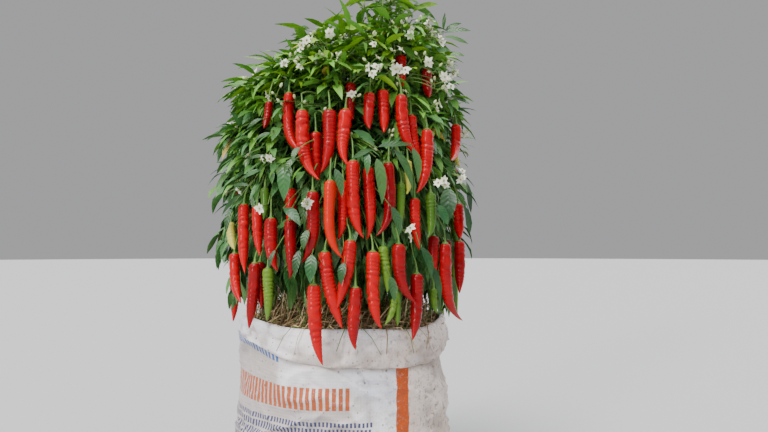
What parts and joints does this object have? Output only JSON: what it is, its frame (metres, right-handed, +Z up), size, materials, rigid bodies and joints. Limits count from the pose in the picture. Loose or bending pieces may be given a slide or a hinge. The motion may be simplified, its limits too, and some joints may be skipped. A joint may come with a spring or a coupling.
{
  "type": "potted chilli pepper plant",
  "caption": "Bushy chilli pepper plant hung all round with long red fruit, with white flowers at the top, growing in a round woven sack of soil with a turned-down mouth and straw on top.",
  "frame": {"origin": "centre of the sack's flat underside, where it stands", "axes": "+Z up, -Y towards the front of the sack, +X to the right as seen from the front"},
  "size_m": [0.4607, 0.4622, 0.8785],
  "materials": {
    "woven_cloth": "slightly glossy woven tape cloth, dusty",
    "potting_soil": "matt, crumbly",
    "dry_straw": "matt, dry",
    "green_stem": "matt, ribbed",
    "foliage_and_fruit": "satin leaves and glossy red fruit"
  },
  "bodies": {
    "root": {"sack": "woven_cloth", "sack_cuff": "woven_cloth", "soil": "potting_soil", "straw_mulch": "dry_straw", "main_stem": "green_stem", "main_bough_right": "green_stem", "main_bough_left": "green_stem", "bough_1": "green_stem", "bough_2": "green_stem", "bough_3": "green_stem", "bough_4": "green_stem", "outer_branch_1": "green_stem", "outer_branch_2": "green_stem", "outer_branch_3": "green_stem", "outer_branch_4": "green_stem", "outer_branch_5": "green_stem", "outer_branch_6": "green_stem", "outer_branch_7": "green_stem", "outer_branch_8": "green_stem", "upper_branch_1": "green_stem", "upper_branch_2": "green_stem", "upper_branch_3": "green_stem", "upper_branch_4": "green_stem", "foliage_outer_1": "foliage_and_fruit", "foliage_outer_2": "foliage_and_fruit", "foliage_outer_3": "foliage_and_fruit", "foliage_outer_4": "foliage_and_fruit", "foliage_outer_5": "foliage_and_fruit", "foliage_outer_6": "foliage_and_fruit", "foliage_outer_7": "foliage_and_fruit", "foliage_outer_8": "foliage_and_fruit", "foliage_top_1": "foliage_and_fruit", "foliage_top_2": "foliage_and_fruit", "foliage_top_3": "foliage_and_fruit", "foliage_top_4": "foliage_and_fruit"}
  },
  "joints": []
}
